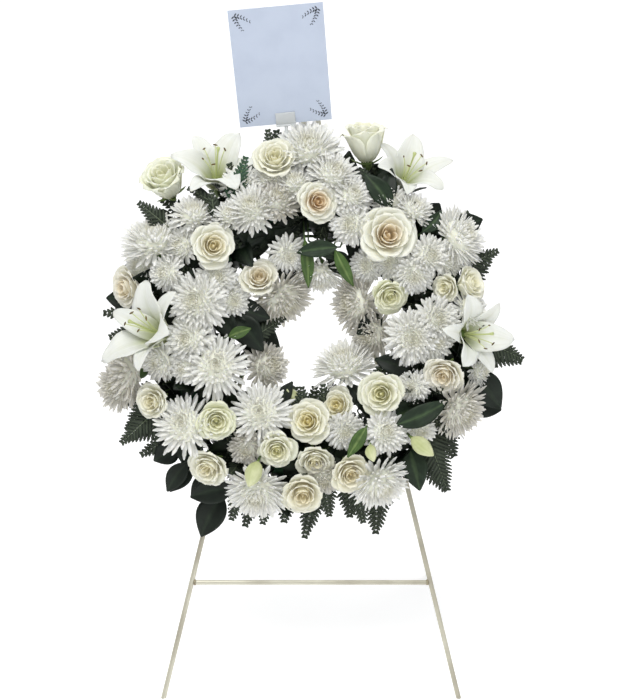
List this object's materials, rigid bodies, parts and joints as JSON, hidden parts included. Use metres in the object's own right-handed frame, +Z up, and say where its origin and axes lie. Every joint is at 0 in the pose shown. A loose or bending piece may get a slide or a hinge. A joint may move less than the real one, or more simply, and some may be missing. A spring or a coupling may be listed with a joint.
{
  "type": "funeral wreath",
  "caption": "White funeral wreath of roses, lilies and chrysanthemums on a foam ring, with its card, leaning on a pale metal wire easel.",
  "frame": {"origin": "on the ground, under the middle of the bounding box of the whole", "axes": "+Z up, -Y towards the viewer that the wreath faces, +X to that viewer's right"},
  "size_m": [0.6494, 0.545, 1.0512],
  "materials": {
    "rod": "satin",
    "tray": "satin",
    "foam": "matte",
    "card": "satin",
    "clear": "gloss",
    "rose": "matte",
    "lily": "satin",
    "mum": "matte",
    "bud": "matte",
    "leaf": "satin"
  },
  "bodies": {
    "root": {"front_leg_left": "rod", "front_leg_right": "rod", "crossbar": "rod", "ring_tray": "tray", "foam_ring": "foam", "card_pick": "clear", "memorial_card": "card", "lily_upper_left": "lily", "lily_upper_right": "lily", "lily_left": "lily", "lily_right": "lily", "roses_upper_right": "rose", "rose_top": "rose", "roses_upper_left": "rose", "rose_top_left": "rose", "rose_top_right": "rose", "rose_far_upper_left": "rose", "rose_far_left": "rose", "roses_right": "rose", "rose_lower_right": "rose", "rose_far_right": "rose", "roses_lower": "rose", "roses_bottom": "rose", "roses_lower_left": "rose", "rose_far_lower_left": "rose", "mums_upper_left": "mum", "mums_top_left": "mum", "mums_top": "mum", "mums_top_right": "mum", "mums_far_upper_right": "mum", "mums_hole_top": "mum", "mums_far_left": "mum", "mum_hole_upper_left": "mum", "mums_hole_right": "mum", "mum_hole_lower_right": "mum", "mum_hole_lower_left": "mum", "mums_right": "mum", "mums_left": "mum", "mum_far_left": "mum", "mums_lower_left": "mum", "mum_bottom_left": "mum", "mum_bottom_right": "mum", "mums_lower_right": "mum", "mums_far_right": "mum", "buds_lower_left": "bud", "buds_lower_right": "bud", "leaves_lower_right": "leaf", "greens_top": "leaf", "greens_upper_left": "leaf", "greens_lower_left": "leaf", "greens_bottom": "leaf", "greens_lower_right": "leaf", "greens_upper_right": "leaf", "greens_hole_top": "leaf", "greens_hole_left": "leaf", "greens_hole_bottom": "leaf", "rear_leg_left": "rod", "rear_leg_right": "rod", "apex_collar": "rod"}
  },
  "joints": []
}
